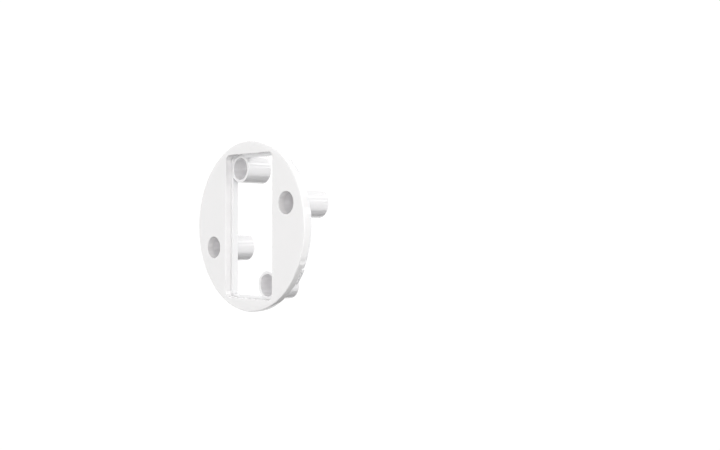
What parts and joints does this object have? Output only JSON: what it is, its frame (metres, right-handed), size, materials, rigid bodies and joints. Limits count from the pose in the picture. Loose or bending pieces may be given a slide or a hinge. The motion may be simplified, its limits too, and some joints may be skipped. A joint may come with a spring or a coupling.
{
  "type": "desk grommet",
  "caption": "Round white desk grommet insert: flanged face plate with a tall rectangular cable opening, spigot ring with snap lugs, and hollow screw posts behind.",
  "frame": {"origin": "centre of the spigot ring, in the plane of the face plate's back, which seats on the desk", "axes": "+Y along the ring's axis into the hole, away from the visible face; +Z along the long side of the cable opening; +X across it"},
  "size_m": [0.084, 0.0211, 0.084],
  "materials": {
    "face_abs": "glossy white moulded ABS, visible face",
    "carrier_abs": "glossy white moulded ABS, ring, frame, ribs, webs and ties",
    "post_abs": "glossy white moulded ABS, screw posts"
  },
  "bodies": {
    "root": {"face_plate": "face_abs", "spigot_ring": "carrier_abs", "cable_frame": "carrier_abs", "post_web_right": "carrier_abs", "post_web_left": "carrier_abs", "post_tie_right": "carrier_abs", "post_tie_left": "carrier_abs", "rib_long_right": "carrier_abs", "rib_short_right": "carrier_abs", "rib_long_left": "carrier_abs", "rib_short_left": "carrier_abs", "long_screw_post_right": "post_abs", "long_screw_post_left": "post_abs", "short_screw_post_top": "post_abs", "short_screw_post_bottom": "post_abs"}
  },
  "joints": []
}
